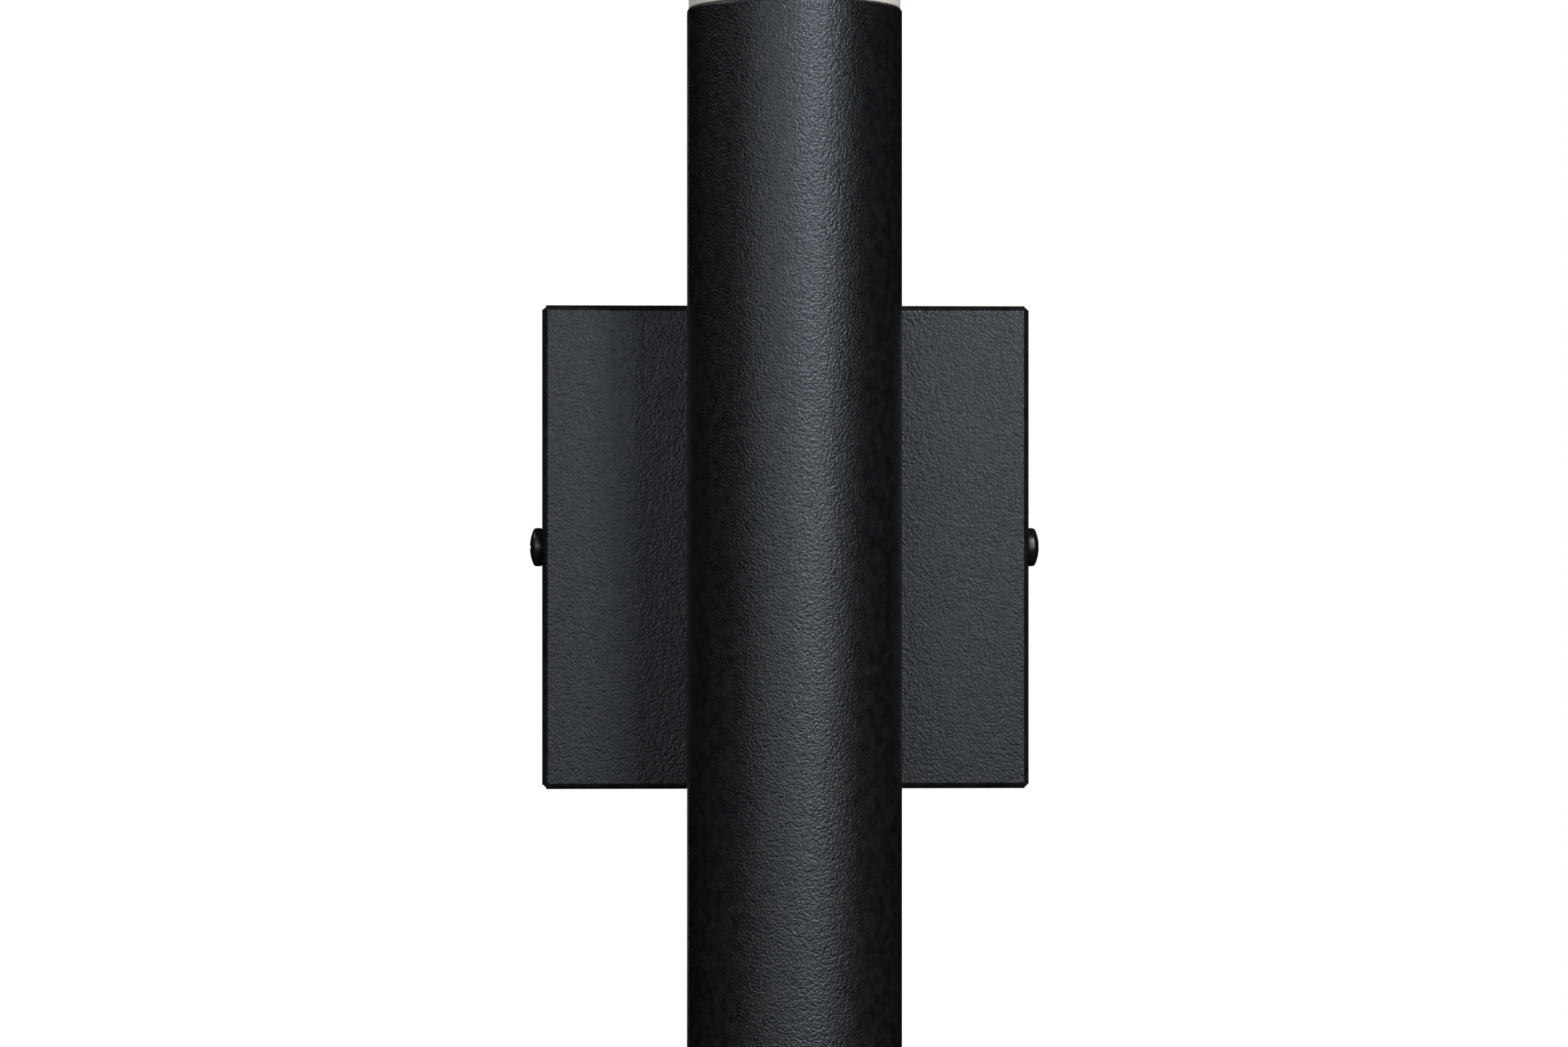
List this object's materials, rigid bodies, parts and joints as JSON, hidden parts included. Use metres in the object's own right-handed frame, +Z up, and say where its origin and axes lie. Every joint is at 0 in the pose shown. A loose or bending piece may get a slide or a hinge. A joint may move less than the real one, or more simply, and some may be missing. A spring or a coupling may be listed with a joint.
{
  "type": "tube wall light",
  "caption": "Black tube wall light: an upright sleeve with an opal diffuser at each end, on an arm from a square folded canopy with side screws.",
  "frame": {"origin": "middle of the wall plane, halfway between the wall bracket's two slots", "axes": "+Z up along the sleeve, -Y out of the wall towards the room, +X to the right when the light is seen from the room"},
  "size_m": [0.1262, 0.0928, 0.374],
  "materials": {
    "black_powder_coat": "fine-textured satin black powder coat",
    "black_screw": "satin black oxide",
    "zinc_plated_steel": "bright zinc plate",
    "green_screw": "green dyed zinc",
    "black_nylon": "moulded",
    "bare_aluminium": "mill finish",
    "driver_case": "moulded",
    "thermal_pad": "soft",
    "white_board": "white solder resist",
    "led_phosphor": "silicone over phosphor",
    "white_terminal": "moulded",
    "lead_insulation": "silicone insulation",
    "opal_acrylic": "frosted",
    "seal_rubber": "matt"
  },
  "bodies": {
    "fixture": {"arm": "black_powder_coat", "arm_lock_washers": "zinc_plated_steel", "arm_screws": "zinc_plated_steel", "backing_plate": "zinc_plated_steel", "board_screws_bottom": "zinc_plated_steel", "board_screws_top": "zinc_plated_steel", "canopy": "black_powder_coat", "clamp_plate": "bare_aluminium", "driver": "driver_case", "driver_screws": "zinc_plated_steel", "driver_tray": "bare_aluminium", "ground_screw": "green_screw", "ground_washer": "zinc_plated_steel", "heat_sink_bottom": "bare_aluminium", "heat_sink_screw_bottom": "black_screw", "heat_sink_screw_top": "black_screw", "heat_sink_top": "bare_aluminium", "led_board_bottom": "white_board", "led_board_top": "white_board", "led_chips_bottom": "led_phosphor", "led_chips_top": "led_phosphor", "led_leads_bottom": "lead_insulation", "led_leads_top": "lead_insulation", "led_terminal_bottom": "white_terminal", "led_terminal_top": "white_terminal", "sleeve": "black_powder_coat", "thermal_pad_bottom": "thermal_pad", "thermal_pad_top": "thermal_pad", "tray_screws": "zinc_plated_steel", "wall_bracket": "zinc_plated_steel", "wire_bushing": "black_nylon"},
    "left_screw": {"canopy_screw_left": "black_screw"},
    "right_screw": {"canopy_screw_right": "black_screw"},
    "upper_diffuser": {"diffuser_top": "opal_acrylic", "diffuser_seal_top": "seal_rubber"},
    "lower_diffuser": {"diffuser_bottom": "opal_acrylic", "diffuser_seal_bottom": "seal_rubber"}
  },
  "joints": [
    {"name": "left_screw_slide", "type": "slide", "parent": "fixture", "child": "left_screw", "axis": [-1, 0, 0], "range_m": [0, 0.008]},
    {"name": "right_screw_slide", "type": "slide", "parent": "fixture", "child": "right_screw", "axis": [1, 0, 0], "range_m": [0, 0.008]},
    {"name": "upper_diffuser_slide", "type": "slide", "parent": "fixture", "child": "upper_diffuser", "axis": [0, 0, 1], "range_m": [0, 0.03]},
    {"name": "lower_diffuser_slide", "type": "slide", "parent": "fixture", "child": "lower_diffuser", "axis": [0, 0, -1], "range_m": [0, 0.03]}
  ]
}
